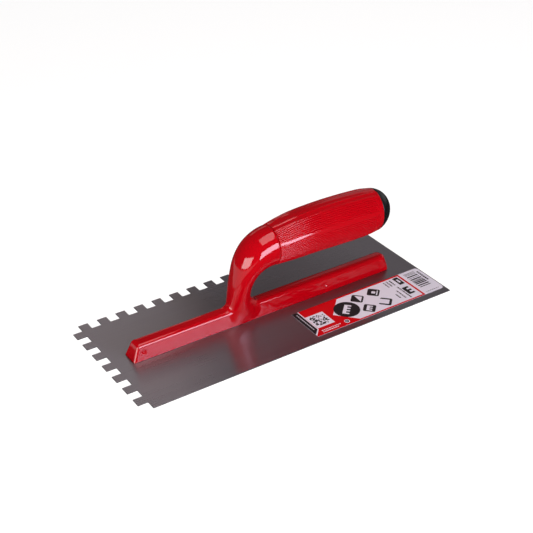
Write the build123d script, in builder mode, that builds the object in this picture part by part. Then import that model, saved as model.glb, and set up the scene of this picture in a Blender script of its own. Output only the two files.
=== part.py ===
from build123d import *

import os

# Notched trowel: a thin steel blade with square notches on one long and one short edge, carried by a
# moulded handle. Millimetres. The origin is the blade's centre on its underside, +X runs along the
# blade towards the grip's free end, +Y towards the notched long edge, +Z up to the grip.

# Blade
BLADE_LENGTH = 280.0
BLADE_WIDTH = 120.0
BLADE_THICKNESS = 0.7
NOTCH = 8.0  # depth and width of a square notch, and width of the tooth beside it
NOTCH_PITCH = 2 * NOTCH
LONG_EDGE_NOTCHES = 18  # counts both open corners
SHORT_EDGE_NOTCHES = 8

# Spine, the hollow bar of the handle along the blade, narrower at its top and with raked ends
SPINE_HEIGHT = 13.2
SPINE_BASE_WIDTH = 15.4
SPINE_TOP_WIDTH = 10.2
SPINE_BASE_ENDS = (-119.4, 119.4)
SPINE_TOP_ENDS = (-114.0, 116.4)
SPINE_EDGE_RADIUS = 1.4
SPINE_NEAR_CORNER_RADIUS = 2.0
SPINE_FAR_CORNER_RADIUS = 4.0
SPINE_WALL = 2.3
RIB_THICKNESS = 1.6
RIBS_PER_BAY = 2

# Studs welded on the blade, and the bosses of the spine that grip them
STUD_COUNT = 5
STUD_PITCH = 55.0
STUD_RADIUS = 2.1
STUD_GROOVE_DEPTH = 0.35
STUD_GROOVE_WIDTH = 0.7
STUD_GROOVES = 3
STUD_LENGTH = 8.5
FLANGE_RADIUS = 3.6
FLANGE_THICKNESS = 0.8
BOSS_RADIUS = 4.0
BOSS_BORE_SPARE = 0.6  # free depth above a stud's tip

# Neck, from its foot on the blade to the collar under the grip sleeve:
# along X, height Z, lean from vertical in degrees, half depth in the XZ plane, half width across Y
NECK_SECTIONS = [
    (-19.8, 2.0, 0, 16.4, 7.0),
    (-19.9, 9.5, 0, 15.0, 8.0),
    (-21.8, 14.6, 0, 12.6, 8.6),
    (-23.3, 20.0, 3, 9.8, 9.2),
    (-22.9, 28.0, 11, 8.7, 10.2),
    (-20.4, 37.5, 22, 9.0, 11.8),
    (-16.0, 46.4, 38, 11.2, 13.4),
    (-9.6, 53.1, 58, 13.8, 14.6),
    (-2.2, 56.8, 77, 15.4, 15.3),
    (5.4, 57.9, 90, 16.3, 15.6),
]
FOOT_RADIUS = 3.5  # between the neck and the spine's top
COLLAR_RADIUS = 1.2

# Tapered pocket that cores the neck from below: along X, height Z, half depth, half width
NECK_CORE_SECTIONS = [
    (-22.5, BLADE_THICKNESS, 8.4, 4.8),
    (-22.5, 38.0, 4.2, 4.0),
]

# Grip, from the collar to the end cap: along X, height Z of the centre, half height, half width
GRIP_SECTIONS = [
    (5.4, 57.9, 16.3, 15.6),
    (25.0, 59.4, 19.1, 16.0),
    (45.0, 59.9, 19.9, 16.3),
    (65.0, 59.6, 20.3, 16.5),
    (85.0, 59.0, 20.1, 16.4),
    (95.0, 58.7, 19.6, 16.2),
    (104.2, 58.4, 18.2, 15.6),
]
SLEEVE_WALL = 2.8
SLEEVE_EDGE_RADIUS = 1.0

# Tang, the tube of the frame inside the sleeve
TANG_END = 95.0
TANG_ROOT = (13.2, 12.4)  # half height, half width at the collar
TANG_TIP = (12.0, 11.2)
TANG_WALL = 2.6
TANG_BORE_START = -5.0

# End cap, an ellipsoid cut by the sleeve's end, and its spigot
CAP_LENGTH = 14.4
CAP_CENTRE_DEPTH = 4.6  # how far the ellipsoid's centre lies inside the sleeve
CAP_WALL = 2.4
SPIGOT = (15.4, 13.0)  # half height, half width
SPIGOT_BORE = (13.4, 11.4)
SPIGOT_LENGTH = 8.0

# Label stuck on the blade, with two rounded corners near the blade's plain end
LABEL_THICKNESS = 0.15
LABEL_LENGTH = 125.8
LABEL_WIDTH = 35.4
LABEL_CENTRE = (76.1, -36.4)
LABEL_CORNER_RADIUS = 3.0

BLADE_TOP = BLADE_THICKNESS
SPINE_TOP = BLADE_TOP + SPINE_HEIGHT
GRIP_START, COLLAR_Z = GRIP_SECTIONS[0][:2]
GRIP_END, CAP_Z, CAP_HALF_HEIGHT, CAP_HALF_WIDTH = GRIP_SECTIONS[-1]
STUD_XS = [STUD_PITCH * (i - (STUD_COUNT - 1) / 2) for i in range(STUD_COUNT)]
RIB_PITCH = STUD_PITCH / (RIBS_PER_BAY + 1)
RIB_XS = [
    x + RIB_PITCH * (i + 1)
    for x in STUD_XS[:-1]
    for i in range(RIBS_PER_BAY)
    if abs(x + RIB_PITCH * (i + 1) - NECK_CORE_SECTIONS[0][0]) > NECK_CORE_SECTIONS[0][2]
]


def section_plane(x, z, lean=90.0):
    """Plane across the handle: its X lies in the XZ plane, its Y across the handle."""
    tilt = Vector(1, 0, 0).rotate(Axis.Y, lean)
    normal = Vector(0, 0, 1).rotate(Axis.Y, lean)
    return Plane(origin=(x, 0, z), x_dir=tilt, z_dir=normal)


def spine_block(inset):
    """Tapered bar of the spine, with its sides, ends and top moved inward by inset."""
    base, top = SPINE_BASE_WIDTH / 2 - inset, SPINE_TOP_WIDTH / 2 - inset
    top_z = SPINE_TOP - inset
    with BuildPart() as block:
        with BuildSketch(Plane.YZ):
            Polygon((-base, BLADE_TOP), (base, BLADE_TOP), (top, top_z), (-top, top_z), align=None)
        extrude(amount=SPINE_BASE_ENDS[1], both=True)
        with BuildSketch(Plane.XZ):
            Polygon(
                (SPINE_BASE_ENDS[0] + inset, BLADE_TOP),
                (SPINE_BASE_ENDS[1] - inset, BLADE_TOP),
                (SPINE_TOP_ENDS[1] - inset, top_z),
                (SPINE_TOP_ENDS[0] + inset, top_z),
                align=None,
            )
        extrude(amount=SPINE_BASE_WIDTH, both=True, mode=Mode.INTERSECT)
    return block.part


# Blade: one sheet, its square notches open to the corners
with BuildPart() as blade:
    with BuildSketch():
        Rectangle(BLADE_LENGTH, BLADE_WIDTH)
        with Locations((0, BLADE_WIDTH / 2 - NOTCH / 2)):
            with GridLocations(NOTCH_PITCH, 0, LONG_EDGE_NOTCHES, 1):
                Rectangle(NOTCH, NOTCH, mode=Mode.SUBTRACT)
        with Locations((-BLADE_LENGTH / 2 + NOTCH / 2, 0)):
            with GridLocations(0, NOTCH_PITCH, 1, SHORT_EDGE_NOTCHES):
                Rectangle(NOTCH, NOTCH, mode=Mode.SUBTRACT)
    extrude(amount=BLADE_THICKNESS)

# Weld stud: a flange that is spot-welded to the blade, and a shank with grip rings
with BuildPart() as weld_stud:
    with BuildSketch(Plane.XZ) as stud_profile:
        with BuildLine():
            Polyline(
                (0, 0),
                (FLANGE_RADIUS, 0),
                (FLANGE_RADIUS, FLANGE_THICKNESS),
                (STUD_RADIUS, FLANGE_THICKNESS),
                (STUD_RADIUS, STUD_LENGTH - STUD_GROOVE_DEPTH),
                (STUD_RADIUS - STUD_GROOVE_DEPTH, STUD_LENGTH),
                (0, STUD_LENGTH),
                close=True,
            )
        make_face()
        for i in range(STUD_GROOVES):
            groove_z = STUD_LENGTH - 2 * STUD_GROOVE_WIDTH * (i + 1)
            with Locations((STUD_RADIUS, groove_z)):
                Rectangle(2 * STUD_GROOVE_DEPTH, STUD_GROOVE_WIDTH, mode=Mode.SUBTRACT)
    revolve(axis=Axis.Z)

weld_studs = [Pos(x, 0, BLADE_TOP) * weld_stud.part for x in STUD_XS]

# Hollow of the spine, with the stud bosses and cross ribs left standing
with BuildPart() as spine_hollow:
    add(spine_block(SPINE_WALL))
    with BuildSketch(Plane.XY.offset(BLADE_TOP + FLANGE_THICKNESS)):
        with Locations([(x, 0) for x in STUD_XS]):
            Circle(BOSS_RADIUS)
        with Locations([(x, 0) for x in RIB_XS]):
            Rectangle(RIB_THICKNESS, SPINE_BASE_WIDTH)
    extrude(amount=SPINE_HEIGHT, mode=Mode.SUBTRACT)
    with BuildSketch(Plane.XY.offset(BLADE_TOP)):
        with Locations([(x, 0) for x in STUD_XS]):
            Circle(STUD_RADIUS)
    extrude(amount=STUD_LENGTH + BOSS_BORE_SPARE)

# Outer shape of the tang, slightly tapered so that the sleeve slides on
with BuildPart() as tang:
    with BuildSketch(section_plane(GRIP_START, COLLAR_Z)):
        Ellipse(*TANG_ROOT)
    with BuildSketch(section_plane(TANG_END, CAP_Z)):
        Ellipse(*TANG_TIP)
    loft()

# Handle frame: spine, neck and tang in one moulding
with BuildPart() as handle_frame:
    # Spine, its corners and its top rounded
    add(spine_block(0))
    corner_edges = handle_frame.edges().filter_by(lambda edge: abs(edge.tangent_at(0.5).Z) > 0.5)
    fillet(corner_edges.sort_by(Axis.X)[:2], SPINE_NEAR_CORNER_RADIUS)
    corner_edges = handle_frame.edges().filter_by(lambda edge: abs(edge.tangent_at(0.5).Z) > 0.5)
    fillet(corner_edges.sort_by(Axis.X)[-2:], SPINE_FAR_CORNER_RADIUS)
    fillet(handle_frame.faces().sort_by(Axis.Z)[-1].edges(), SPINE_EDGE_RADIUS)
    # Neck from the blade to the collar, rounded where it meets the sleeve
    for x, z, lean, half_depth, half_width in NECK_SECTIONS:
        with BuildSketch(section_plane(x, z, lean)):
            Ellipse(half_depth, half_width)
    loft()
    foot_edges = handle_frame.edges(Select.NEW).filter_by_position(
        Axis.Z, SPINE_TOP - SPINE_EDGE_RADIUS, SPINE_TOP + 0.1
    )
    fillet(foot_edges, FOOT_RADIUS)
    collar_face = handle_frame.faces().filter_by(Axis.X).filter_by_position(
        Axis.X, GRIP_START - 0.1, GRIP_START + 0.1
    )
    fillet(collar_face.edges(), COLLAR_RADIUS)
    # Tang inside the sleeve, cored from its free end
    add(tang.part)
    with BuildSketch(section_plane(TANG_BORE_START, COLLAR_Z)):
        Ellipse(TANG_TIP[0] - TANG_WALL, TANG_TIP[1] - TANG_WALL)
    with BuildSketch(section_plane(TANG_END, CAP_Z)):
        Ellipse(TANG_TIP[0] - TANG_WALL, TANG_TIP[1] - TANG_WALL)
    loft(mode=Mode.SUBTRACT)
    # Hollow under the neck and the spine
    for x, z, half_depth, half_width in NECK_CORE_SECTIONS:
        with BuildSketch(section_plane(x, z, 0)):
            Ellipse(half_depth, half_width)
    loft(mode=Mode.SUBTRACT)
    add(spine_hollow.part, mode=Mode.SUBTRACT)

# Grip sleeve: a barrel-shaped shell, tight on the tang's root and bored for the end cap
with BuildPart() as grip_sleeve:
    for x, z, half_height, half_width in GRIP_SECTIONS:
        with BuildSketch(section_plane(x, z)):
            Ellipse(half_height, half_width)
    loft()
    fillet(grip_sleeve.faces().sort_by(Axis.X)[0].edges(), SLEEVE_EDGE_RADIUS)
    for x, z, half_height, half_width in GRIP_SECTIONS[1:-1]:
        with BuildSketch(section_plane(x, z)):
            Ellipse(half_height - SLEEVE_WALL, half_width - SLEEVE_WALL)
    loft(mode=Mode.SUBTRACT)
    with BuildSketch(section_plane(GRIP_SECTIONS[-2][0], CAP_Z)):
        Ellipse(*SPIGOT)
    extrude(amount=GRIP_END - GRIP_SECTIONS[-2][0], mode=Mode.SUBTRACT)
    add(tang.part, mode=Mode.SUBTRACT)


def cap_dome(length, half_height, half_width):
    """End of an ellipsoid, of this length and this elliptical foot on the sleeve's end face."""
    radius = length + CAP_CENTRE_DEPTH
    foot_share = (1 - (CAP_CENTRE_DEPTH / radius) ** 2) ** 0.5
    ball = scale(Sphere(1), by=(radius, half_width / foot_share, half_height / foot_share))
    dome = split(ball, bisect_by=Plane.YZ.offset(CAP_CENTRE_DEPTH), keep=Keep.TOP)
    return Pos(GRIP_END - CAP_CENTRE_DEPTH, 0, CAP_Z) * dome


outer_dome = cap_dome(CAP_LENGTH, CAP_HALF_HEIGHT, CAP_HALF_WIDTH)
inner_dome = cap_dome(CAP_LENGTH - CAP_WALL, *SPIGOT_BORE)

# End cap: a thin dome with a hollow spigot that plugs the sleeve
with BuildPart() as end_cap:
    add(outer_dome)
    with BuildSketch(section_plane(GRIP_END, CAP_Z)):
        Ellipse(*SPIGOT)
    extrude(amount=-SPIGOT_LENGTH)
    with BuildSketch(section_plane(GRIP_END, CAP_Z)):
        Ellipse(*SPIGOT_BORE)
    extrude(amount=-SPIGOT_LENGTH, mode=Mode.SUBTRACT)
    add(inner_dome, mode=Mode.SUBTRACT)

# Label: a thin sticker on the blade
with BuildPart() as label:
    with BuildSketch(Plane.XY.offset(BLADE_TOP)) as label_outline:
        with Locations(LABEL_CENTRE):
            Rectangle(LABEL_LENGTH, LABEL_WIDTH)
        fillet(label_outline.vertices().sort_by(Axis.X)[-2:], LABEL_CORNER_RADIUS)
    extrude(amount=LABEL_THICKNESS)

PARTS = {
    "blade": blade.part,
    "handle_frame": handle_frame.part,
    "grip_sleeve": grip_sleeve.part,
    "end_cap": end_cap.part,
    "label": label.part,
}
for i, stud in enumerate(weld_studs):
    PARTS[f"weld_stud_{i + 1}"] = stud

os.makedirs("parts", exist_ok=True)
for name, shape in PARTS.items():
    shape.label = name
    export_step(shape, f"parts/{name}.step")
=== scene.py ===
import math

import bmesh
import bpy
import numpy as np
from mathutils import Matrix, Vector


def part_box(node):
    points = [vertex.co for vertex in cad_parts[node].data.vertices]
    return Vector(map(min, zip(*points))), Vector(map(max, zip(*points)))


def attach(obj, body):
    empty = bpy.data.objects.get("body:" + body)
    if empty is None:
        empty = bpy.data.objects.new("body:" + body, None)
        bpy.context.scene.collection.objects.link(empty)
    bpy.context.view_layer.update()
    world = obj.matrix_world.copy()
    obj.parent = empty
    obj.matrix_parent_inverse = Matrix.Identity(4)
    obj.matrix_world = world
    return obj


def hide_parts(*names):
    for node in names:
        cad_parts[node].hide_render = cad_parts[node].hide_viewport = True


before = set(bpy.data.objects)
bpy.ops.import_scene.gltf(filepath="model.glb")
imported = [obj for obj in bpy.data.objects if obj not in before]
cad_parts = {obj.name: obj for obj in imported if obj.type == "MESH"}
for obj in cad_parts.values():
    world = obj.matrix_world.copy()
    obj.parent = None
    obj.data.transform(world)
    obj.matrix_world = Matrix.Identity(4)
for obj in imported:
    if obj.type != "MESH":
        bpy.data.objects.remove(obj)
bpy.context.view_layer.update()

# Notched trowel. Shapes are worked out in millimetres in the CAD's frame and written in metres: +X runs
# along the blade to the grip's free end, +Y to the notched long edge, +Z up.
MM = 0.001


def box_mm(node):
    """Lowest and highest corner of a CAD node in millimetres."""
    low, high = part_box(node)
    return np.array(low) / MM, np.array(high) / MM


BLADE_LOW, BLADE_HIGH = box_mm("blade")
CAP_END = box_mm("end_cap")[1][0]
LABEL_LOW, LABEL_HIGH = box_mm("label")
HANDLE_LOW, HANDLE_HIGH = box_mm("handle_frame")
STUD_NODES = sorted(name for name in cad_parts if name.startswith("weld_stud"))
STUD_BOXES = [box_mm(name) for name in STUD_NODES]
STUD_XS = [(low[0] + high[0]) / 2 for low, high in STUD_BOXES]
STUD_TOP = STUD_BOXES[0][1][2]
BLADE_TOP = BLADE_HIGH[2]

# Blade
NOTCH = 8.0
NOTCH_CORNER_RADIUS = 0.3
SHEET_EDGE_RADIUS = 0.12
FLAT_FACE_TILT = 0.9  # faces whose upright share is below this are sheared edges

# Spine of the handle
SPINE_TOP = BLADE_TOP + 13.2
SPINE_BASE_HALF = 7.7
SPINE_TOP_HALF = 5.1
SPINE_CROWN = 0.45  # how much lower the top is at its long edges
SPINE_LEFT_RAKE = 5.4
SPINE_RIGHT_RAKE = 3.2
SPINE_EDGE_RADIUS = 2.2
SPINE_LEFT_BEVEL = 1.1
SPINE_LEFT_RADIUS = 0.45
SPINE_KINK_RADIUS = 1.5
SPINE_RIGHT_RADIUS = 4.0
SPINE_WALL = 2.3
SPINE_FOOT_RADIUS = 0.35
RIB_THICKNESS = 1.6
RIBS_PER_BAY = 2
BOSS_RADIUS = 4.0
STUD_RADIUS = 2.1
STUD_FLANGE = 0.8
SINK_DEPTHS = (0.3, 0.0, 0.06, 0.5, 0.35)  # at each stud, on the spine's sides
SINK_RADIUS = 1.4
SINK_HEIGHT = 7.2

# Neck: along X, height Z, lean from vertical in degrees, half depth, half width across Y
NECK_SECTIONS = [
    (-19.8, 2.0, 0, 16.4, 7.0),
    (-19.9, 9.5, 0, 15.0, 8.0),
    (-21.8, 14.6, 0, 12.6, 8.6),
    (-23.3, 20.0, 3, 9.8, 9.2),
    (-22.9, 28.0, 11, 8.7, 10.2),
    (-20.4, 37.5, 22, 9.0, 11.8),
    (-16.0, 46.4, 38, 11.2, 13.4),
    (-9.6, 53.1, 58, 13.8, 14.6),
    (-2.2, 56.8, 77, 15.4, 15.3),
    (5.4, 57.9, 90, 16.3, 15.6),
]
NECK_BLEND_RADIUS = 1.3  # where the neck meets the spine, and more on its front
NECK_FRONT_EXTRA = 2.7
NECK_FRONT = (-18.0, -32.0)
COLLAR_RADIUS = 1.2
NECK_CORE_X = -22.5
NECK_CORE_TOP = 38.0
NECK_CORE_FOOT_HALVES = (8.4, 4.8)
NECK_CORE_TOP_HALVES = (4.2, 4.0)

# Tang inside the sleeve: half height and half width at its two ends
TANG_END = 95.0
TANG_ROOT = (13.2, 12.4)
TANG_TIP = (12.0, 11.2)
TANG_WALL = 2.6
TANG_BORE_START = -5.0

# Grip: along X, height Z of the centre, half height, half width
GRIP_SECTIONS = [
    (5.4, 57.9, 16.3, 15.6),
    (25.0, 59.4, 19.1, 16.0),
    (45.0, 59.9, 19.9, 16.3),
    (65.0, 59.6, 20.3, 16.5),
    (85.0, 59.0, 20.1, 16.4),
    (95.0, 58.7, 19.6, 16.2),
    (104.2, 58.4, 18.2, 15.6),
]
SLEEVE_WALL = 2.8
SLEEVE_EDGE_RADIUS = 0.9
SLEEVE_END_RADIUS = 0.15
SLEEVE_RIBS = 70
SLEEVE_RIB_POINTS = 14
SLEEVE_RIB_ARC = 72.0  # each rib is an arc that turns this far to both sides
SLEEVE_RIB_START = 31.0  # degrees from the top, on both sides
SLEEVE_SMOOTH_DEPTH = 0.34  # of the smooth surface below the ribs' crests
SLEEVE_BEADS = (16.5, 30.5)  # degrees from the top to the fine raised lines
SLEEVE_BEAD_HALF = 0.82
SLEEVE_STRIPS = ((75.0, 1.3), (180.0, 2.3))  # degrees and half width of the smooth strips
SLEEVE_STRIP_TILT = 0.09  # how much deeper a strip's upper edge lies, for each millimetre across
SLEEVE_TURN = 8.5  # degrees that the pattern is turned upward at the collar
SLEEVE_TURN_LENGTH = 10.0
SLEEVE_FADE = 7.0  # the ribs fade into the smooth surface over this length before the cap
SLEEVE_FLUSH = 0.8  # share of the surface's depth that is lost over the fade
SLEEVE_RINGS = 46  # along the ribbed stretch
SLEEVE_FADE_RINGS = 9
PAD_TOP_DROP = 0.2  # the smooth pad along the top is flatter than the grip's outline
PAD_EDGE_RISE = 0.25
SHOULDER_END = 54.0  # degrees from the top to where the pad has merged with the outline

# End cap
CAP_CENTRE_DEPTH = 4.6
CAP_WALL = 2.4
CAP_EDGE_RADIUS = 0.25
SPIGOT = (15.4, 13.0)
SPIGOT_BORE = (13.4, 11.4)
SPIGOT_LENGTH = 8.0

COLLAR_X, COLLAR_Z = GRIP_SECTIONS[0][:2]
GRIP_END, CAP_Z, CAP_HALF_HEIGHT, CAP_HALF_WIDTH = GRIP_SECTIONS[-1]


# ---------------------------------------------------------------- mesh helpers


def smooth_rows(rows, steps):
    """Rows of a smooth curve through the given rows: cubic Hermite, slopes from the neighbours."""
    rows = np.array(rows, float)
    knots = np.concatenate([[0], np.cumsum(np.hypot(*np.diff(rows[:, :2], axis=0).T))])
    slopes = np.gradient(rows, knots, axis=0, edge_order=2)
    at = np.linspace(0, knots[-1], steps * (len(rows) - 1) + 1)
    i = np.clip(np.searchsorted(knots, at, side="right") - 1, 0, len(rows) - 2)
    span = (knots[i + 1] - knots[i])[:, None]
    t = (at - knots[i])[:, None] / span
    start = (2 * t**3 - 3 * t**2 + 1) * rows[i] + (t**3 - 2 * t**2 + t) * span * slopes[i]
    end = (3 * t**2 - 2 * t**3) * rows[i + 1] + (t**3 - t**2) * span * slopes[i + 1]
    return start + end


def make_piece(name, points, faces, material, node=None, smooth=True):
    """Mesh object from points in millimetres, riding on the one body."""
    mesh = bpy.data.meshes.new(name)
    mesh.from_pydata((np.asarray(points) * MM).tolist(), [], faces)
    mesh.validate()
    if smooth:
        mesh.shade_smooth()
    else:
        mesh.shade_flat()
    mesh.materials.append(material)
    piece = bpy.data.objects.new(name, mesh)
    bpy.context.scene.collection.objects.link(piece)
    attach(piece, "root")
    if node:
        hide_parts(node)
    return piece


def ring_faces(rings, count, closed):
    """Quads between rings of count points; closed also joins the last ring to the first."""
    faces = []
    for a in range(rings if closed else rings - 1):
        b = (a + 1) % rings
        for i in range(count):
            j = (i + 1) % count
            faces.append((a * count + i, a * count + j, b * count + j, b * count + i))
    return faces


def surface_net(field, low, high, pitch):
    """Points and quads of the surface where field(x, y, z) is zero, with the field's own normals."""
    axes = [np.arange(low[i], high[i] + pitch[i], pitch[i]) for i in range(3)]
    value = field(axes[0][:, None, None], axes[1][None, :, None], axes[2][None, None, :])
    shape = np.array(value.shape)
    start = np.array([axis[0] for axis in axes])
    cells = int(np.prod(shape))
    totals = np.zeros((3, cells))
    counts = np.zeros(cells)
    quads = []
    for a in range(3):
        near = np.take(value, range(shape[a] - 1), a)
        far = np.take(value, range(1, shape[a]), a)
        index = np.array(np.nonzero((near < 0) != (far < 0)))
        near, far = near[tuple(index)], far[tuple(index)]
        point = index.astype(float)
        point[a] += near / (near - far)
        b, c = (a + 1) % 3, (a + 2) % 3
        corners = []
        for step_b, step_c in ((1, 1), (0, 1), (0, 0), (1, 0)):
            cell = index.copy()
            cell[b] -= step_b
            cell[c] -= step_c
            flat = np.ravel_multi_index(cell, shape)
            corners.append(flat)
            counts += np.bincount(flat, minlength=cells)
            for i in range(3):
                totals[i] += np.bincount(flat, point[i], cells)
        quad = np.array(corners).T
        flip = near > 0
        quad[flip] = quad[flip][:, ::-1]
        quads.append(quad)
    quads = np.concatenate(quads)
    used = np.nonzero(counts)[0]
    place = np.full(cells, -1)
    place[used] = np.arange(len(used))
    points = (totals[:, used] / counts[used]).T * np.array(pitch) + start
    for _ in range(4):
        slope, level = field_slope(field, points)
        step = slope * (level / np.maximum((slope**2).sum(1), 0.25))[:, None]
        points -= np.clip(step, -0.3, 0.3)
    slope, level = field_slope(field, points)
    normals = slope / np.maximum(np.linalg.norm(slope, axis=1), 1e-9)[:, None]
    return points, place[quads], normals


def field_slope(field, points, step=0.02):
    """The field's slope and its value at each point."""
    level = field(*points.T)
    slope = np.zeros(points.shape)
    for i in range(3):
        moved = points.copy()
        moved[:, i] += step
        slope[:, i] = (field(*moved.T) - level) / step
    return slope, level


def round_max(a, b, radius):
    """Where two solids' distances are cut by each other, with the outer edge rounded."""
    a, b = a + radius, b + radius
    return np.hypot(np.maximum(a, 0), np.maximum(b, 0)) + np.minimum(np.maximum(a, b), 0) - radius


def round_min(a, b, radius):
    """Where two solids are joined, with the inner edge filled to the radius."""
    return -round_max(-a, -b, radius)


def ellipse_field(across, up, half_up, half_across):
    """Nearly the distance to an ellipse, negative inside."""
    reach = np.hypot(up / half_up, across / half_across)
    slope = np.hypot(up / half_up**2, across / half_across**2) / np.maximum(reach, 1e-6)
    return (reach - 1) / np.maximum(slope, 1e-3)


# ---------------------------------------------------------------- handle


def spine_outside(x, y, z, inset):
    """Distances to the spine's side, left end, right end and top, each moved inward by inset."""
    height = SPINE_TOP - BLADE_TOP
    rise = (z - BLADE_TOP) / height
    taper = (SPINE_BASE_HALF - SPINE_TOP_HALF) / height
    side = (np.abs(y) - SPINE_BASE_HALF + taper * (z - BLADE_TOP)) / math.hypot(1, taper)
    left = HANDLE_LOW[0] + SPINE_LEFT_RAKE * rise - x
    left /= math.hypot(1, SPINE_LEFT_RAKE / height)
    upright = x - HANDLE_HIGH[0]
    raked = (x - HANDLE_HIGH[0] - 1.0 + (SPINE_RIGHT_RAKE + 1.0) * rise)
    raked /= math.hypot(1, (SPINE_RIGHT_RAKE + 1.0) / height)
    right = round_max(upright, raked, SPINE_KINK_RADIUS)
    top = z - SPINE_TOP + SPINE_CROWN * (y / SPINE_TOP_HALF) ** 2
    return side + inset, left + inset, right + inset, top + inset


def spine_field(x, y, z):
    side, left, right, top = spine_outside(x, y, z, 0)
    for stud_x, depth in zip(STUD_XS, SINK_DEPTHS):
        reach = ((x - stud_x) ** 2 + (z - SINK_HEIGHT) ** 2) / SINK_RADIUS**2
        side = side + depth * np.exp(-reach)
    bevel = (side + left + SPINE_LEFT_BEVEL) / math.sqrt(2)
    walls = round_max(side, bevel, SPINE_LEFT_RADIUS)
    walls = round_max(walls, left, SPINE_LEFT_RADIUS)
    walls = round_max(walls, right, SPINE_RIGHT_RADIUS)
    return round_max(walls, top, SPINE_EDGE_RADIUS)


NECK = smooth_rows(NECK_SECTIONS, 12)


def neck_field(x, y, z):
    """Each point is measured in the leaning section plane that passes through it."""
    x, z, y = np.broadcast_arrays(x, z, y)
    far = np.full(x.shape, 50.0)
    near = (x > -45) & (x < 12)
    if not near.any():
        return far
    keys, back = np.unique(np.round(np.stack([x[near], z[near]]), 6), axis=1, return_inverse=True)
    depth, half_depth, half_width = neck_sections_at(keys[0], keys[1])
    back = back.ravel()
    far[near] = ellipse_field(y[near], depth[back], half_depth[back], half_width[back])
    return far


def neck_sections_at(x, z):
    """Depth from the neck's centre line, and the section's halves, for points of the XZ plane."""
    lean = np.radians(NECK[:, 2])
    along_x, along_z = x[:, None] - NECK[:, 0], z[:, None] - NECK[:, 1]
    ahead = along_x * np.sin(lean) + along_z * np.cos(lean)
    depth = along_x * np.cos(lean) - along_z * np.sin(lean)
    between = (ahead[:, :-1] >= 0) & (ahead[:, 1:] < 0)
    share = ahead[:, :-1] / np.where(between, ahead[:, :-1] - ahead[:, 1:], 1)
    share = np.clip(share, 0, 1)
    between_depth = depth[:, :-1] + (depth[:, 1:] - depth[:, :-1]) * share
    sizes = [NECK[:-1, i] + (NECK[1:, i] - NECK[:-1, i]) * share for i in (3, 4)]
    cost = np.where(between, np.abs(between_depth) / sizes[0], np.inf)
    best = np.argmin(cost, axis=1)
    rows = np.arange(len(x))
    none = ~between.any(axis=1)
    below = none & (ahead[:, 0] < 0)
    beyond = none & (ahead[:, -1] >= 0)
    result = [v[rows, best] for v in (between_depth, *sizes)]
    result[0] = np.where(none, 60.0, result[0])
    for mask, end in ((below, 0), (beyond, -1)):
        result[0] = np.where(mask, depth[:, end], result[0])
        result[1] = np.where(mask, NECK[end, 3], result[1])
        result[2] = np.where(mask, NECK[end, 4], result[2])
    return result


def tang_field(x, y, z, wall, start):
    share = np.clip((x - COLLAR_X) / (TANG_END - COLLAR_X), 0, 1)
    centre = COLLAR_Z + (CAP_Z - COLLAR_Z) * share
    half_up = TANG_ROOT[0] + (TANG_TIP[0] - TANG_ROOT[0]) * share
    half_across = TANG_ROOT[1] + (TANG_TIP[1] - TANG_ROOT[1]) * share
    if wall:
        half_up, half_across = TANG_TIP[0] - wall, TANG_TIP[1] - wall
    tube = ellipse_field(y, z - centre, half_up, half_across)
    return np.maximum(tube, start - x)


def hollow_field(x, y, z):
    """The hollow of the spine with its bosses and ribs, the neck's core and the tang's bore."""
    side, left, right, top = spine_outside(x, y, z, SPINE_WALL)
    room = np.maximum(np.maximum(side, top), np.maximum(left, right))
    boss = np.min([np.hypot(x - stud_x, y) - BOSS_RADIUS for stud_x in STUD_XS], axis=0)
    pitch = (STUD_XS[1] - STUD_XS[0]) / (RIBS_PER_BAY + 1)
    rib = np.abs((x - STUD_XS[0] + pitch / 2) % pitch - pitch / 2) - RIB_THICKNESS / 2
    standing = np.maximum(np.minimum(boss, rib), BLADE_TOP + STUD_FLANGE - z)
    room = np.maximum(room, -standing)
    bore = np.min([np.hypot(x - stud_x, y) - STUD_RADIUS for stud_x in STUD_XS], axis=0)
    room = np.minimum(room, np.maximum(bore, z - STUD_TOP - 0.5))
    share = np.clip((z - BLADE_TOP) / (NECK_CORE_TOP - BLADE_TOP), 0, 1)
    half_up = NECK_CORE_FOOT_HALVES[0] + (NECK_CORE_TOP_HALVES[0] - NECK_CORE_FOOT_HALVES[0]) * share
    half_across = NECK_CORE_FOOT_HALVES[1] + (NECK_CORE_TOP_HALVES[1] - NECK_CORE_FOOT_HALVES[1]) * share
    core = ellipse_field(y, x - NECK_CORE_X, half_up, half_across)
    room = np.minimum(room, round_max(core, z - NECK_CORE_TOP, 2.0))
    return np.minimum(room, tang_field(x, y, z, TANG_WALL, TANG_BORE_START))


def handle_field(x, y, z):
    neck = round_max(neck_field(x, y, z), x - COLLAR_X, COLLAR_RADIUS)
    front = np.clip((x - NECK_FRONT[0]) / (NECK_FRONT[1] - NECK_FRONT[0]), 0, 1)
    blend = NECK_BLEND_RADIUS + NECK_FRONT_EXTRA * front**2 * (3 - 2 * front)
    outside = round_min(spine_field(x, y, z), neck, blend)
    outside = round_max(outside, BLADE_TOP - z, SPINE_FOOT_RADIUS)
    tang = np.maximum(tang_field(x, y, z, 0, 0.0), x - TANG_END)
    solid = np.minimum(outside, tang)
    return np.maximum(solid, -hollow_field(x, y, z))


def make_handle(material):
    low = HANDLE_LOW - 1.2
    high = HANDLE_HIGH + 1.2
    pitch = (1.0, 0.54, 0.54)
    points, quads, normals = surface_net(handle_field, low, high, pitch)
    points = np.clip(points, HANDLE_LOW, HANDLE_HIGH)
    piece = make_piece(
        "handle_body", points, quads.tolist(), material, "handle_frame"
    )
    piece.data.normals_split_custom_set_from_vertices(normals.tolist())
    return piece


# ---------------------------------------------------------------- grip


GRIP = smooth_rows(GRIP_SECTIONS, 40)


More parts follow.
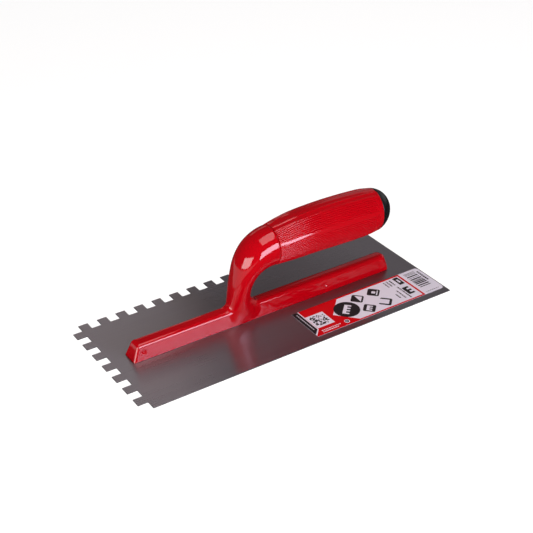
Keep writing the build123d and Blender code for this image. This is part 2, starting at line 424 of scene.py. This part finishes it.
def grip_at(x):
    """Height of the grip's centre, its half height and its half width at x."""
    return [np.interp(x, GRIP[:, 0], GRIP[:, i]) for i in (1, 2, 3)]


def even_angles(half_up, half_across, count):
    """Angles round an ellipse at even steps of its length, from its top, and the length at each."""
    fine = np.linspace(0, 2 * np.pi, 4001)
    step = np.hypot(np.diff(half_across * np.sin(fine)), np.diff(half_up * np.cos(fine)))
    length = np.concatenate([[0], np.cumsum(step)])
    at = np.arange(count) / count * length[-1]
    return np.interp(at, length, fine), at, length[-1]


def sleeve_relief(x, angles, along, length):
    """Depth below the grip's outline round the sleeve at x, and where its surface is smooth."""
    from_top = np.degrees(np.minimum(angles, 2 * np.pi - angles))
    reach = np.minimum(along, length - along)
    half_count = len(angles) // 2 + 1
    turned_by = SLEEVE_TURN * math.exp(-max(x - COLLAR_X, 0) / SLEEVE_TURN_LENGTH)

    def apart_from(degrees):
        if degrees < 180:
            degrees -= turned_by
        return reach - np.interp(degrees, from_top[:half_count], reach[:half_count])

    spread = math.sin(math.radians(SLEEVE_RIB_ARC))
    radius = length / SLEEVE_RIBS / 2 / spread
    across = 2 * (along / length * SLEEVE_RIBS % 1) - 1
    ribs = radius * (1 - np.sqrt(1 - (across * spread) ** 2))
    edge = SLEEVE_BEADS[-1] - turned_by
    pad = PAD_TOP_DROP - (PAD_TOP_DROP + PAD_EDGE_RISE) * (from_top / edge) ** 2
    shoulder = -PAD_EDGE_RISE * np.clip((SHOULDER_END - from_top) / (SHOULDER_END - edge), 0, 1)
    fade = np.clip((GRIP_END - SLEEVE_END_RADIUS - x) / SLEEVE_FADE, 0, 1)
    ribs = SLEEVE_SMOOTH_DEPTH + (ribs - SLEEVE_SMOOTH_DEPTH) * fade**2 * (3 - 2 * fade)
    smooth = from_top < SLEEVE_RIB_START - turned_by
    depth = np.where(smooth, SLEEVE_SMOOTH_DEPTH, ribs)
    for degrees, half in SLEEVE_STRIPS:
        apart = apart_from(degrees)
        share = np.clip((np.abs(apart) - half) / 0.2, 0, 1)
        smooth = smooth | (share < 1)
        depth = depth * share + SLEEVE_STRIP_TILT * (half - apart) * (1 - share)
    for degrees in SLEEVE_BEADS:
        apart = apart_from(degrees) / SLEEVE_BEAD_HALF
        bead = SLEEVE_SMOOTH_DEPTH * apart**2
        depth = np.where(np.abs(apart) < 1, np.minimum(bead, depth), depth)
    return depth + np.where(from_top < edge, pad, shoulder), smooth


def make_sleeve(smooth_material, ribbed_material):
    count = SLEEVE_RIBS * SLEEVE_RIB_POINTS
    angles, along, length = even_angles(19.5, 16.3, count)
    rings = []
    ribbed = []

    def ring(x, centre, half_up, half_across):
        up = centre + half_up * np.cos(angles)
        rings.append(np.stack([np.full(count, x), half_across * np.sin(angles), up], 1))

    def outer_ring(x, inset, rib_share):
        centre, half_up, half_across = grip_at(x)
        relief, smooth = sleeve_relief(x, angles, along, length)
        depth = inset + relief * rib_share
        ring(x, centre, half_up - depth, half_across - depth)
        ribbed.append(~smooth)

    radius = SLEEVE_EDGE_RADIUS
    for turn in np.radians([90, 60, 30, 0]):
        outer_ring(COLLAR_X + radius * (1 - math.sin(turn)), radius * (1 - math.cos(turn)), math.cos(turn))
    fade_start = GRIP_END - SLEEVE_END_RADIUS - SLEEVE_FADE
    for x in np.linspace(COLLAR_X + radius, fade_start, SLEEVE_RINGS)[1:]:
        outer_ring(x, 0, 1)
    for share in np.linspace(0, 1, SLEEVE_FADE_RINGS)[1:-1]:
        outer_ring(fade_start + SLEEVE_FADE * share, 0, 1 - SLEEVE_FLUSH * share)
    radius = SLEEVE_END_RADIUS
    for turn in np.radians([0, 30, 60, 90]):
        x = GRIP_END - radius * (1 - math.sin(turn))
        outer_ring(x, radius * (1 - math.cos(turn)), 1 - SLEEVE_FLUSH)
    for x in (GRIP_END, TANG_END):
        ring(x, CAP_Z, *SPIGOT)
    for x, centre, half_up, half_across in GRIP_SECTIONS[-2:0:-1]:
        ring(x, centre, half_up - SLEEVE_WALL, half_across - SLEEVE_WALL)
    ring(GRIP_SECTIONS[1][0], COLLAR_Z, *TANG_ROOT)
    ring(COLLAR_X, COLLAR_Z, *TANG_ROOT)
    faces = ring_faces(len(rings), count, True)
    piece = make_piece(
        "sleeve_body", np.concatenate(rings), faces, smooth_material, "grip_sleeve"
    )
    piece.data.materials.append(ribbed_material)
    for face, is_ribbed in zip(piece.data.polygons, np.concatenate(ribbed).tolist()):
        face.material_index = int(is_ribbed)
    return piece


def make_cap(material):
    count = 160
    angles = np.arange(count) / count * 2 * np.pi
    length = CAP_END - GRIP_END
    reach = length + CAP_CENTRE_DEPTH
    foot = math.sqrt(1 - (CAP_CENTRE_DEPTH / reach) ** 2)
    rings = []

    def ring(x, half_up, half_across):
        up = CAP_Z + half_up * np.cos(angles)
        rings.append(np.stack([np.full(count, x), half_across * np.sin(angles), up], 1))

    start = math.asin(CAP_CENTRE_DEPTH / reach)
    for turn in np.linspace(math.pi / 2 - 0.01, start, 40):
        share = math.cos(turn) / foot
        inset = 0.0
        x = GRIP_END - CAP_CENTRE_DEPTH + reach * math.sin(turn)
        if x < GRIP_END + CAP_EDGE_RADIUS:
            drop = 1 - (x - GRIP_END) / CAP_EDGE_RADIUS
            inset = CAP_EDGE_RADIUS * (1 - math.sqrt(1 - drop**2))
        ring(x, CAP_HALF_HEIGHT * share - inset, CAP_HALF_WIDTH * share - inset)
    ring(GRIP_END, *SPIGOT)
    ring(GRIP_END - SPIGOT_LENGTH, *SPIGOT)
    ring(GRIP_END - SPIGOT_LENGTH, *SPIGOT_BORE)
    ring(GRIP_END, *SPIGOT_BORE)
    for turn in np.linspace(0.2, math.pi / 2 - 0.01, 12):
        share = math.cos(turn)
        x = GRIP_END + (length - CAP_WALL) * math.sin(turn)
        ring(x, SPIGOT_BORE[0] * share, SPIGOT_BORE[1] * share)
    faces = ring_faces(len(rings), count, False)
    last = (len(rings) - 1) * count
    faces.append(tuple(range(count))[::-1])
    faces.append(tuple(range(last, last + count)))
    return make_piece("cap_body", np.concatenate(rings), faces, material, "end_cap")


# ---------------------------------------------------------------- blade and label


def make_blade(face_material, sheared_material):
    x_low, y_low = BLADE_LOW[:2]
    x_high, y_high = BLADE_HIGH[:2]
    corners = [(x_high, y_low), (x_high, y_high - NOTCH)]
    tooth_count = int((x_high - x_low) // (2 * NOTCH))
    for i in range(tooth_count):
        x = x_high - NOTCH - 2 * NOTCH * i
        corners += [(x, y_high - NOTCH), (x, y_high), (x - NOTCH, y_high), (x - NOTCH, y_high - NOTCH)]
    side_count = int((y_high - y_low) // (2 * NOTCH))
    corners += [(x_low + NOTCH, y_high - NOTCH)]
    for i in range(side_count):
        y = y_high - NOTCH - 2 * NOTCH * i
        corners += [(x_low + NOTCH, y), (x_low, y), (x_low, y - NOTCH), (x_low + NOTCH, y - NOTCH)]
    corners += [(x_low + NOTCH, y_low)]
    outline = [corners[0]]
    for corner in corners[1:]:
        if math.dist(corner, outline[-1]) > 1e-6:
            outline.append(corner)
    mesh = bpy.data.meshes.new("blade_sheet")
    bm = bmesh.new()
    low = [bm.verts.new((x * MM, y * MM, BLADE_LOW[2] * MM)) for x, y in outline]
    high = [bm.verts.new((x * MM, y * MM, BLADE_TOP * MM)) for x, y in outline]
    bm.faces.new(low[::-1])
    bm.faces.new(high)
    for i in range(len(outline)):
        j = (i + 1) % len(outline)
        bm.faces.new((low[i], low[j], high[j], high[i]))
    uprights = [e for e in bm.edges if abs(e.verts[0].co.z - e.verts[1].co.z) > 0.1 * MM]
    bmesh.ops.bevel(
        bm, geom=uprights, offset=NOTCH_CORNER_RADIUS * MM, segments=3, affect="EDGES", profile=0.5
    )
    flats = [e for e in bm.edges if abs(e.verts[0].co.z - e.verts[1].co.z) < 0.1 * MM]
    rims = [e for e in flats if any(abs(f.normal.z) < 0.5 for f in e.link_faces)]
    bmesh.ops.bevel(
        bm, geom=rims, offset=SHEET_EDGE_RADIUS * MM, segments=2, affect="EDGES", profile=0.5
    )
    bm.normal_update()
    bm.to_mesh(mesh)
    bm.free()
    mesh.shade_flat()
    mesh.materials.append(face_material)
    mesh.materials.append(sheared_material)
    for face in mesh.polygons:
        if abs(face.normal.z) < FLAT_FACE_TILT:
            face.material_index = 1
    piece = bpy.data.objects.new("blade_sheet", mesh)
    bpy.context.scene.collection.objects.link(piece)
    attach(piece, "root")
    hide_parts("blade")
    return piece


LABEL_LEVEL = 0.015  # thickness of one printed layer


def bar(x_low, x_high, y_low, y_high):
    return [(x_low, y_low), (x_high, y_low), (x_high, y_high), (x_low, y_high)]


def disc(x, y, radius, count=64):
    turns = [2 * math.pi * i / count for i in range(count)]
    return [(x + radius * math.cos(t), y + radius * math.sin(t)) for t in turns]


def turned(shape, x, y, degrees):
    """A shape drawn round zero, turned and moved to x, y."""
    c, s = math.cos(math.radians(degrees)), math.sin(math.radians(degrees))
    return [(x + c * u - s * v, y + s * u + c * v) for u, v in shape]


def rounded_square(half, radius):
    points = []
    for quarter in range(4):
        side = [(1, 1), (-1, 1), (-1, -1), (1, -1)][quarter]
        for step in range(7):
            t = math.radians(90 * quarter + 15 * step)
            x = side[0] * (half - radius) + radius * math.cos(t)
            points.append((x, side[1] * (half - radius) + radius * math.sin(t)))
    return points


def comb(length, width, teeth, gap):
    """A bar along X, drawn round zero, with square teeth on one side."""
    points = [(-length / 2, width / 2), (-length / 2, -width / 2)]
    tooth = (length - gap * (teeth - 1)) / teeth
    for i in range(teeth):
        x = -length / 2 + i * (tooth + gap)
        points += [(x + tooth, -width / 2)]
        if i < teeth - 1:
            points += [(x + tooth, 0), (x + tooth + gap, 0), (x + tooth + gap, -width / 2)]
    return points + [(length / 2, width / 2)]


def dashes(rng, x_low, x_high, y_low, y_high, upright=False):
    """Short marks of uneven length that fill a line, as small print looks from afar."""
    shapes = []
    start, end = (y_low, y_high) if upright else (x_low, x_high)
    while start < end - 0.4:
        stop = min(start + rng.uniform(0.5, 1.9), end)
        shapes.append(bar(x_low, x_high, start, stop) if upright else bar(start, stop, y_low, y_high))
        start = stop + rng.uniform(0.3, 0.6)
    return shapes


def print_layer(name, shapes, level, material):
    """Shapes in millimetres from the label's near left corner, printed as thin plates."""
    points, faces = [], []
    low = LABEL_HIGH[2] + (level - 1) * LABEL_LEVEL + 0.002
    for shape in shapes:
        first, count = len(points), len(shape)
        for z in (low, low + LABEL_LEVEL):
            points += [(LABEL_LOW[0] + u, LABEL_LOW[1] + v, z) for u, v in shape]
        faces.append(tuple(first + i for i in reversed(range(count))))
        faces.append(tuple(first + count + i for i in range(count)))
        for i in range(count):
            j = (i + 1) % count
            faces.append((first + i, first + j, first + count + j, first + count + i))
    return make_piece(name, points, faces, material, smooth=False)


CODE_WIDTH = 13.0
CODE_MODULES = 11
CODE_DARK_SHARE = 0.55
BAR_WIDTHS = [0.5, 0.9, 1.4]
BAR_GAPS = [0.6, 0.9, 1.3]


def make_label_print():
    """Plain blocks, bars and simple icons: nothing on the label can be read."""
    rng = np.random.default_rng(4)
    width = (LABEL_HIGH - LABEL_LOW)[1]
    divider, keyline = 106.1, 6.1
    red = [
        [
            (keyline, width), (keyline, 7.7), (0, 1.2), (0, 0), (divider, 0), (divider, width),
        ]
    ]
    black = [[(0.0, width), (0, 2.7), (5.2, 8.2), (5.2, width)]]
    white = [
        [(26.8, 17.3), (41.3, 1.5), (104.3, 1.5), (104.3, width - 1.7), (42.3, width - 1.7)],
        bar(6.3, 22.5, 8.9, 26.1),
        disc(30.8, 4.5, 2.2),
    ]
    white += dashes(rng, 2.5, 3.1, 9, width - 3, True)
    white += dashes(rng, 7.0, 25.4, 4.3, 5.2) + dashes(rng, 7.0, 22.0, 2.3, 3.2)
    dark, pale = [], []
    module = CODE_WIDTH / CODE_MODULES
    for i in range(CODE_MODULES):
        for j in range(CODE_MODULES):
            if rng.random() < CODE_DARK_SHARE:
                u, v = 7.9 + i * module, 11.2 + j * module
                dark.append(bar(u, u + module * 0.98, v, v + module * 0.98))
    dark.append(disc(30.8, 4.5, 1.6))
    dark.append(disc(40.4, 17.6, 10.6))
    pale.append(disc(30.8, 4.5, 0.6))
    pale.append(turned(comb(12.5, 5.5, 4, 1.9), 40.4, 17.6, 45))
    icons = [(56.5, 25.3), (72.9, 25.4), (56.5, 9.2), (72.9, 9.5)]
    for u, v in icons:
        dark.append(turned(rounded_square(4.9, 1.5), u, v, 45))
    pale.append(turned([(-3.6, -3.4), (3.6, -3.4), (3.6, 2.8)], *icons[0], 45))
    pale.append(turned(rounded_square(1.6, 0.7), *icons[1], 45))
    pale.append(turned(bar(-3.4, 3.4, -3.4, -2.5), *icons[1], 45))
    pale.append(turned(comb(7.0, 4.6, 3, 1.3), *icons[2], 45))
    pale.append(turned(bar(-3.1, 3.1, -2.9, 5.0), *icons[3], 45))
    for u in (87.6, 90.6, 93.6):
        dark += dashes(rng, u, u + 1.3, 24.1, 32.1, True)
    for u in (85.5, 89.3, 93.4):
        dark += dashes(rng, u, u + 1.3, 3.1 + (93.4 - u) / 2, 21.1 - (93.4 - u), True)
    dark.append(bar(98.0, 103.0, 22.2, 32.8))
    pale.append(bar(99.6, 101.4, 25.2, 30.0))
    dark.append(turned(comb(10.6, 6.0, 3, 2.1), 98.6, 12.4, 90))
    v = 10.1
    while v < 32.0:
        wide = rng.choice(BAR_WIDTHS)
        dark.append(bar(109.3, 120.3, v, v + wide))
        v += wide + rng.choice(BAR_GAPS)
    dark += dashes(rng, 121.7, 123.3, 16.1, 31.1, True)
    dark += dashes(rng, 108.5, 122.0, 2.3, 2.8)
    print_layer("label_red_print", red, 1, print_material("print_red", (0.60, 0.0, 0.004, 1)))
    black_ink = print_material("print_black", (0.014, 0.013, 0.015, 1))
    print_layer("label_black_print", black, 1, black_ink)
    white_ink = print_material("print_white", (0.76, 0.76, 0.86, 1))
    print_layer("label_white_print", white, 2, white_ink)
    print_layer("label_icon_print", dark, 3, black_ink)
    print_layer("label_pale_print", pale, 4, white_ink)


# ---------------------------------------------------------------- materials


class Surface:
    """A Principled material and short calls that add its nodes."""

    def __init__(self, name):
        self.material = bpy.data.materials.new(name)
        self.material.use_nodes = True
        self.tree = self.material.node_tree
        self.shader = self.tree.nodes["Principled BSDF"]
        self.place = self.add("ShaderNodeTexCoord").outputs["Object"]

    def add(self, kind, **settings):
        node = self.tree.nodes.new(kind)
        for key, value in settings.items():
            setattr(node, key, value)
        return node

    def link(self, source, target):
        if hasattr(source, "is_output"):
            self.tree.links.new(source, target)
        else:
            target.default_value = source

    def scaled(self, x, y, z):
        node = self.add("ShaderNodeMapping")
        self.link(self.place, node.inputs["Vector"])
        node.inputs["Scale"].default_value = (x, y, z)
        return node.outputs["Vector"]

    def noise(self, place, scale, detail=3.0, roughness=0.5):
        node = self.add("ShaderNodeTexNoise")
        self.link(place, node.inputs["Vector"])
        node.inputs["Scale"].default_value = scale
        node.inputs["Detail"].default_value = detail
        node.inputs["Roughness"].default_value = roughness
        return node.outputs["Fac"]

    def spread(self, value, low, high, to_low, to_high):
        node = self.add("ShaderNodeMapRange", interpolation_type="SMOOTHSTEP")
        for key, number in (("Value", value), ("From Min", low), ("From Max", high)):
            self.link(number, node.inputs[key])
        node.inputs["To Min"].default_value = to_low
        node.inputs["To Max"].default_value = to_high
        return node.outputs["Result"]

    def maths(self, operation, a, b=0.0):
        node = self.add("ShaderNodeMath", operation=operation)
        self.link(a, node.inputs[0])
        self.link(b, node.inputs[1])
        return node.outputs[0]

    def mix(self, share, a, b):
        node = self.add("ShaderNodeMix", data_type="RGBA")
        self.link(share, node.inputs[0])
        self.link(a, node.inputs[6])
        self.link(b, node.inputs[7])
        return node.outputs[2]

    def bump(self, height, strength, distance, normal=None):
        node = self.add("ShaderNodeBump")
        self.link(height, node.inputs["Height"])
        node.inputs["Strength"].default_value = strength
        node.inputs["Distance"].default_value = distance
        if normal:
            self.link(normal, node.inputs["Normal"])
        return node.outputs["Normal"]

    def set(self, **values):
        names = {
            "colour": "Base Color",
            "rough": "Roughness",
            "metal": "Metallic",
            "normal": "Normal",
            "ior": "IOR",
            "coat": "Coat Weight",
            "coat_rough": "Coat Roughness",
            "specular": "Specular IOR Level",
            "anisotropic": "Anisotropic",
            "tangent": "Tangent",
            "glow": "Emission Color",
            "glow_strength": "Emission Strength",
        }
        for key, value in values.items():
            self.link(value, self.shader.inputs[names[key]])
        return self.material


def handle_material():
    s = Surface("handle_red")
    clouds = s.noise(s.place, 18.0)
    colour = s.mix(clouds, (0.47, 0.0, 0.005, 1), (0.42, 0.0, 0.004, 1))
    orange_peel = s.noise(s.place, 260.0, 2.0)
    grain = s.noise(s.place, 2600.0, 2.0)
    normal = s.bump(grain, 0.02, 0.00005, s.bump(orange_peel, 0.03, 0.0002))
    scuffs = s.noise(s.scaled(30, 300, 300), 3.0, 4.0, 0.6)
    rough = s.spread(scuffs, 0.45, 0.8, 0.04, 0.1)
    return s.set(colour=colour, rough=rough, normal=normal, ior=1.5)


def sleeve_material(name, rough_low, rough_high, specular):
    s = Surface(name)
    clouds = s.noise(s.place, 22.0)
    colour = s.mix(clouds, (0.46, 0.0, 0.005, 1), (0.41, 0.0, 0.004, 1))
    grain = s.noise(s.place, 900.0, 3.0)
    normal = s.bump(grain, 0.02, 0.00005)
    rough = s.spread(s.noise(s.scaled(60, 500, 500), 2.0, 4.0), 0.4, 0.8, rough_low, rough_high)
    return s.set(colour=colour, rough=rough, normal=normal, ior=1.5, specular=specular)


def cap_material():
    s = Surface("cap_black")
    grain = s.noise(s.place, 1500.0, 2.0)
    normal = s.bump(grain, 0.25, 0.0001)
    colour = s.mix(s.noise(s.place, 80.0), (0.003, 0.003, 0.0035, 1), (0.006, 0.006, 0.0065, 1))
    rough = s.spread(s.noise(s.place, 120.0), 0.3, 0.7, 0.26, 0.34)
    return s.set(colour=colour, rough=rough, normal=normal, specular=0.3)


def steel_material():
    s = Surface("blade_brushed")
    long_lines = s.noise(s.scaled(6, 900, 900), 1.0, 5.0, 0.65)
    fine_lines = s.noise(s.scaled(30, 3500, 3500), 1.0, 4.0, 0.6)
    clouds = s.noise(s.place, 9.0, 4.0)
    lines = s.maths("ADD", s.maths("MULTIPLY", long_lines, 0.4), s.maths("MULTIPLY", fine_lines, 0.6))
    shade = s.spread(lines, 0.35, 0.65, 0.0, 1.0)
    brushed = s.mix(shade, (0.326, 0.297, 0.309, 1), (0.344, 0.315, 0.328, 1))
    colour = s.mix(s.spread(clouds, 0.45, 0.75, 0.0, 0.3), brushed, (0.285, 0.259, 0.27, 1))
    rough = s.spread(s.maths("ADD", clouds, lines), 0.7, 1.3, 0.27, 0.3)
    normal = s.bump(lines, 0.015, 0.00001, s.bump(s.noise(s.place, 14.0, 1.0), 0.2, 0.0005))
    across = s.add("ShaderNodeCombineXYZ")
    across.inputs["Y"].default_value = 1.0
    return s.set(
        colour=colour,
        rough=rough,
        normal=normal,
        metal=1.0,
        anisotropic=0.95,
        tangent=across.outputs["Vector"],
    )


def edge_material():
    """The dull grey of the sheet's sheared edges."""
    s = Surface("blade_edge")
    upright_lines = s.noise(s.scaled(1500, 1500, 80), 1.0, 3.0)
    colour = s.mix(upright_lines, (0.10, 0.095, 0.10, 1), (0.15, 0.14, 0.145, 1))
    rough = s.spread(upright_lines, 0.3, 0.7, 0.5, 0.62)
    return s.set(colour=colour, rough=rough, metal=1.0, normal=s.bump(upright_lines, 0.2, 0.00002))


def stud_material():
    s = Surface("stud_steel")
    rings = s.noise(s.scaled(400, 400, 4000), 1.0, 3.0)
    colour = s.mix(rings, (0.45, 0.45, 0.45, 1), (0.55, 0.55, 0.54, 1))
    return s.set(colour=colour, rough=s.spread(rings, 0.3, 0.7, 0.25, 0.4), metal=1.0)


def print_material(name, colour):
    s = Surface(name)
    clouds = s.noise(s.place, 60.0)
    dark = tuple(c * 0.93 for c in colour[:3]) + (1,)
    fibre = s.noise(s.place, 1400.0, 3.0)
    waves = s.noise(s.place, 90.0, 2.0)
    normal = s.bump(waves, 0.12, 0.0002, s.bump(fibre, 0.05, 0.00003))
    rough = s.spread(fibre, 0.3, 0.7, 0.28, 0.4)
    return s.set(colour=s.mix(clouds, colour, dark), rough=rough, normal=normal, specular=0.2)


def floor_material():
    s = Surface("floor_white")
    colour = s.mix(s.noise(s.place, 3.0), (0.3, 0.3, 0.3, 1), (0.29, 0.29, 0.29, 1))
    return s.set(
        colour=colour, rough=0.9, specular=0.0, glow=(1, 1, 1, 1), glow_strength=FLOOR_GLOW
    )


# ---------------------------------------------------------------- studio


FLOOR_GLOW = 0.88
CAMERA_PLACE = Vector((-0.41463, -0.62843, 0.50221))
CAMERA_AZIMUTH = -33.56
CAMERA_ELEVATION = 31.54
CAMERA_ROLL = -0.15
CAMERA_LENS = 77.7


def make_camera():
    data = bpy.data.cameras.new("camera")
    data.lens = CAMERA_LENS
    data.sensor_width = 36.0
    data.clip_start = 0.01
    camera = bpy.data.objects.new("camera", data)
    turn = Matrix.Rotation(math.radians(CAMERA_AZIMUTH), 4, "Z")
    tilt = Matrix.Rotation(math.radians(90 - CAMERA_ELEVATION), 4, "X")
    roll = Matrix.Rotation(math.radians(CAMERA_ROLL), 4, "Z")
    camera.matrix_world = Matrix.Translation(CAMERA_PLACE) @ turn @ tilt @ roll
    bpy.context.scene.collection.objects.link(camera)
    bpy.context.scene.camera = camera


def make_softbox(
    name, centre, target, size, radiance, colour, diffuse=True, glossy=True, roll=0, shift=0, lit=None
):
    """Rectangular light facing the target; size is its width and height, radiance its brightness.

    It is moved along its own width by shift, and lights only the collection lit, where one is given.
    """
    data = bpy.data.lights.new(name, "AREA")
    data.shape = "RECTANGLE"
    data.size, data.size_y = size
    data.energy = radiance * math.pi * size[0] * size[1]
    data.color = colour
    light = bpy.data.objects.new(name, data)
    light.location = centre
    light.rotation_euler = (Vector(target) - Vector(centre)).to_track_quat("-Z", "Y").to_euler()
    light.rotation_euler.rotate_axis("Z", math.radians(roll))
    light.location += light.rotation_euler.to_matrix() @ Vector((shift, 0, 0))
    light.visible_camera = False
    if lit:
        light.light_linking.receiver_collection = lit
    light.visible_diffuse = diffuse
    light.visible_glossy = glossy
    bpy.context.scene.collection.objects.link(light)


def make_studio(plastics, flats, grip):
    """Soft lights. The brightest glints are for the plastics, so that the blade isn't all glare."""
    world = bpy.data.worlds.new("studio")
    world.use_nodes = True
    background = world.node_tree.nodes["Background"]
    background.inputs["Color"].default_value = (1.0, 0.96, 0.98, 1)
    background.inputs["Strength"].default_value = 0.06
    bpy.context.scene.world = world
    bpy.context.scene.view_settings.view_transform = "Standard"
    centre = (0.0, 0.0, 0.05)
    fills = [
        ("overhead", (0.03, -0.40, 1.13), (0.03, -0.40, 0), (0.71, 0.87), 4.6, (1, 0.9, 0.86)),
        ("front", (0.24, -1.2, 0.32), (0.24, 0, 0.32), (0.88, 0.58), 5.5, (0.95, 0.84, 1.0)),
        ("left", (-1.15, -0.49, 0.33), centre, (1.1, 0.5), 5.3, (1, 0.9, 0.9)),
    ]
    glints = [
        ("overhead_glint", (0.03, -0.40, 1.12), (0.03, -0.40, 0), (0.71, 0.87), 3.2, (1, 0.88, 0.9)),
        ("left_sheet", (-0.65, -0.3, 0.001), (-0.65, -0.3, 1), (1.0, 1.4), 0.75, (1, 0.97, 1)),
        ("right_glint", (1.3, 0.1, 0.35), centre, (0.8, 0.6), 0.6, (1, 0.97, 1)),
        ("back_right", (1.15, 1.1, 0.75), centre, (0.6, 0.5), 0.24, (0.97, 0.94, 1)),
    ]
    for box in fills:
        make_softbox(*box, glossy=False)
    for box in glints:
        make_softbox(*box, diffuse=False)
    make_softbox(
        "left_glint", (-1.14, -0.48, 0.33), centre, (1.1, 0.5), 6.6, (0.95, 1, 1),
        diffuse=False, lit=plastics,
    )
    make_softbox(
        "front_glint", (0.205, -1.19, 0.32), (0.205, 0, 0.32), (0.85, 0.58), 11.8, (0.78, 0.8, 1),
        diffuse=False, roll=7.4, lit=plastics,
    )
    make_softbox(
        "front_side_glint", (0.205, -1.18, 0.32), (0.205, 0, 0.32), (0.35, 0.58), 13.0,
        (0.78, 0.8, 1), diffuse=False, roll=7.4, shift=0.25, lit=flats,
    )
    make_softbox(
        "left_flat_glint", (-1.13, -0.47, 0.33), centre, (1.1, 0.5), 2.4, (0.95, 1, 1),
        diffuse=False, lit=flats,
    )
    make_softbox(
        "back_left_glint", (0.25, 1.15, 0.95), centre, (0.55, 0.7), 0.18, (0.95, 1, 1),
        diffuse=False, lit=flats,
    )
    make_softbox(
        "back_low", (0.85, 1.36, 0.2), centre, (1.8, 0.3), 0.35, (1, 0.92, 0.94),
        diffuse=False, lit=grip,
    )
    make_softbox("back", (0.75, 1.25, 0.95), centre, (1.3, 0.9), 0.16, (1, 0.94, 0.98), lit=flats)
    make_softbox("back_left", (0.28, 1.35, 0.62), centre, (0.62, 0.16), 1.2, (1, 0.86, 0.8))
    make_floor()


def make_floor():
    mesh = bpy.data.meshes.new("floor")
    bm = bmesh.new()
    bmesh.ops.create_grid(bm, x_segments=8, y_segments=8, size=4.0)
    bm.to_mesh(mesh)
    bm.free()
    mesh.materials.append(floor_material())
    floor = bpy.data.objects.new("floor", mesh)
    bpy.context.scene.collection.objects.link(floor)
    floor.visible_glossy = False


def paint_node(name, material):
    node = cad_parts[name]
    node.data.materials.clear()
    node.data.materials.append(material)


make_camera()
plastics = bpy.data.collections.new("plastics")
flats = bpy.data.collections.new("flats")
grip = bpy.data.collections.new("grip")
make_studio(plastics, flats, grip)
plastics.objects.link(make_handle(handle_material()))
sleeve = make_sleeve(
    sleeve_material("sleeve_smooth", 0.07, 0.13, 0.55),
    sleeve_material("sleeve_ribbed", 0.12, 0.17, 0.3),
)
cap = make_cap(cap_material())
for piece in (sleeve, cap):
    plastics.objects.link(piece)
    grip.objects.link(piece)
flats.objects.link(make_blade(steel_material(), edge_material()))
stud_steel = stud_material()
for stud in STUD_NODES:
    paint_node(stud, stud_steel)
paint_node("label", print_material("label_white", (0.76, 0.76, 0.86, 1)))
make_label_print()
